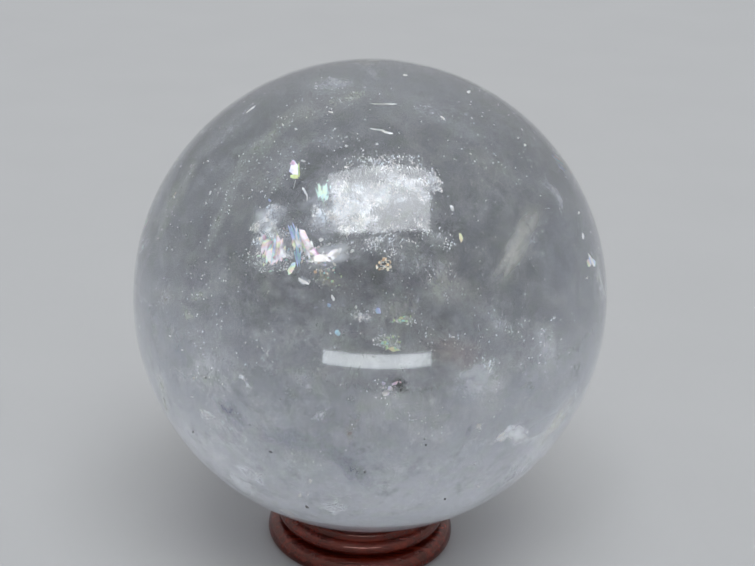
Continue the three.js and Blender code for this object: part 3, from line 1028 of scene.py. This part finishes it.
def turned(name, profile):
    """A closed solid from a profile turned about Z, with a point on the axis at each end."""
    points = [
        (radius * math.cos(math.tau * i / ROUND_STEPS), radius * math.sin(math.tau * i / ROUND_STEPS), height)
        for radius, height in profile for i in range(ROUND_STEPS)
    ]
    under, over = len(points), len(points) + 1
    points += [(0, 0, profile[0][1]), (0, 0, CENTRE.z - RADIUS - SEAT_GAP)]
    top = (len(profile) - 1) * ROUND_STEPS
    faces = []
    for i in range(ROUND_STEPS):
        after = (i + 1) % ROUND_STEPS
        faces.append((under, after, i))
        faces.append((over, top + i, top + after))
        for level in range(len(profile) - 1):
            low, high = level * ROUND_STEPS, (level + 1) * ROUND_STEPS
            faces.append((low + i, low + after, high + after, high + i))
    mesh = new_mesh(name, points, faces)
    mesh.set_sharp_from_angle(angle=SHARP_ANGLE)
    return new_object(name, mesh)


def lacquer_material():
    material, tree, skin, place = shader("lacquered_wood")
    along = node(tree, "ShaderNodeMapping", Vector=place, Scale=(60, 900, 900))
    grain = noise_node(tree, Vector=along, Scale=1.0, Detail=5.0, Roughness=0.65)
    broad = noise_node(tree, Vector=place, Scale=160.0, Detail=2.0)
    lines = ramp(tree, grain, [(0.30, WOOD_DEEP), (0.52, WOOD_WARM), (0.72, WOOD_PALE)])
    stain = ramp(tree, broad, [(0.35, (0.65, 0.62, 0.62)), (0.65, (1, 1, 1))])
    fill(tree, skin.inputs["Base Color"], product(tree, lines, stain))
    pores = node(tree, "ShaderNodeBump", Height=grain, Strength=0.3, Distance=0.0002)
    fill(tree, skin.inputs["Normal"], pores)
    skin.inputs["Roughness"].default_value = 0.12
    skin.inputs["Specular IOR Level"].default_value = 1.0
    skin.inputs["Specular Tint"].default_value = LACQUER_TINT
    skin.inputs["Coat Weight"].default_value = 0.1
    skin.inputs["Coat Roughness"].default_value = 0.04
    return material


stand = turned("turned_stand", stand_profile())
stand.data.materials.append(lacquer_material())
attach(stand, "root")
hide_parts("ring_stand")


# The floor, the air round it and the lamps. A pale matt table top runs out to a horizon of its own tone. A
# wide soft lamp hangs nearly overhead, and a low strip stands in front, seen only as a reflection. Four low
# fill lamps light only the clouds inside the stone, and are never seen.
FLOOR_COLOR = (0.42, 0.42, 0.42)
FLOOR_GRAIN_COLOR = (0.41, 0.41, 0.41)
FLOOR_REACH = 6
HORIZON_LIGHT = (0.38, 0.385, 0.39)
ZENITH_LIGHT = (0.72, 0.74, 0.77)
LAMP_DISTANCE = 8
LAMP_HALF_WIDE = math.radians(20.4)
LAMP_HALF_TALL = math.radians(16.2)
LAMP_GLOW = 5
STRIP_DISTANCE = 0.15
STRIP_TURN = math.radians(-26)
STRIP_SIDE = math.radians(3.9)
STRIP_HALF_WIDE = math.radians(21)
STRIP_HALF_TALL = math.radians(2.8)
STRIP_GLOW = 7
LAMP_TINT = (0.94, 0.97, 1)
STRIP_TINT = (0.9, 0.96, 1)
FILL_DISTANCE = 0.10
FILL_SIDES = (60, -60, 140, -140)
FILL_RISE = math.radians(-20)
FILL_HALF_WIDE = math.radians(28)
FILL_HALF_TALL = math.radians(6)
FILL_GLOW = 15
FILL_TINT = (1, 0.98, 0.98)


def floor_material():
    material, tree, skin, place = shader("table_top")
    grain = noise_node(tree, Vector=place, Scale=30.0, Detail=4.0)
    shade = ramp(tree, grain, [(0.3, FLOOR_GRAIN_COLOR), (0.7, FLOOR_COLOR)])
    fill(tree, skin.inputs["Base Color"], shade)
    skin.inputs["Roughness"].default_value = 0.75
    return material


def panel(name, towards, half_wide, half_tall, distance, glow, tint):
    """A rectangular lamp that faces the stone. Its half sizes are angles, as the stone sees them."""
    lamp = bpy.data.lights.new(name, "AREA")
    lamp.shape = "RECTANGLE"
    lamp.size = 2 * distance * math.tan(half_wide)
    lamp.size_y = 2 * distance * math.tan(half_tall)
    lamp.energy = glow * math.pi * lamp.size * lamp.size_y
    lamp.color = tint
    holder = new_object(name, lamp)
    holder.location = CENTRE + towards * distance
    holder.rotation_mode = "QUATERNION"
    holder.rotation_quaternion = (-towards).to_track_quat("-Z", "Y")
    holder.visible_camera = False
    return holder


corners = [(-1, -1), (1, -1), (1, 1), (-1, 1)]
floor_points = [(x * FLOOR_REACH, y * FLOOR_REACH, 0) for x, y in corners]
floor = new_object("table_top", new_mesh("table_top", floor_points, [(0, 1, 2, 3)]))
floor.data.materials.append(floor_material())

to_strip = Quaternion((0, 0, 1), STRIP_SIDE) @ Quaternion((1, 0, 0), -STRIP_TURN) @ to_eye
panel("overhead_lamp", to_lamp, LAMP_HALF_WIDE, LAMP_HALF_TALL, LAMP_DISTANCE, LAMP_GLOW, LAMP_TINT)
strip = panel(
    "front_strip", to_strip, STRIP_HALF_WIDE, STRIP_HALF_TALL, STRIP_DISTANCE, STRIP_GLOW, STRIP_TINT,
)
strip.visible_diffuse = False
strip.visible_transmission = False
for side in FILL_SIDES:
    swing = Quaternion((0, 0, 1), math.radians(side)) @ Quaternion((1, 0, 0), -FILL_RISE)
    to_fill = swing @ Vector((0, -1, 0))
    low_fill = panel("low_fill", to_fill, FILL_HALF_WIDE, FILL_HALF_TALL, FILL_DISTANCE, FILL_GLOW, FILL_TINT)
    low_fill.visible_diffuse = False
    low_fill.visible_glossy = False
    low_fill.data.use_nodes = True
    glow = low_fill.data.node_tree
    bounces = node(glow, "ShaderNodeLightPath").outputs["Diffuse Depth"]
    seen_by_clouds = worked(glow, "ShaderNodeMath", "GREATER_THAN", bounces, 0.5)
    fill(glow, glow.nodes["Emission"].inputs["Strength"], seen_by_clouds)

world = bpy.data.worlds.new("soft_air")
world.use_nodes = True
bpy.context.scene.world = world
air = world.node_tree
direction = node(air, "ShaderNodeTexCoord").outputs["Generated"]
height = node(air, "ShaderNodeSeparateXYZ", Vector=direction).outputs["Z"]
fill(air, air.nodes["Background"].inputs["Color"], ramp(air, height, [(0, HORIZON_LIGHT), (1, ZENITH_LIGHT)]))
bpy.context.scene.view_settings.view_transform = "Standard"
bpy.context.scene.cycles.transparent_max_bounces = 32
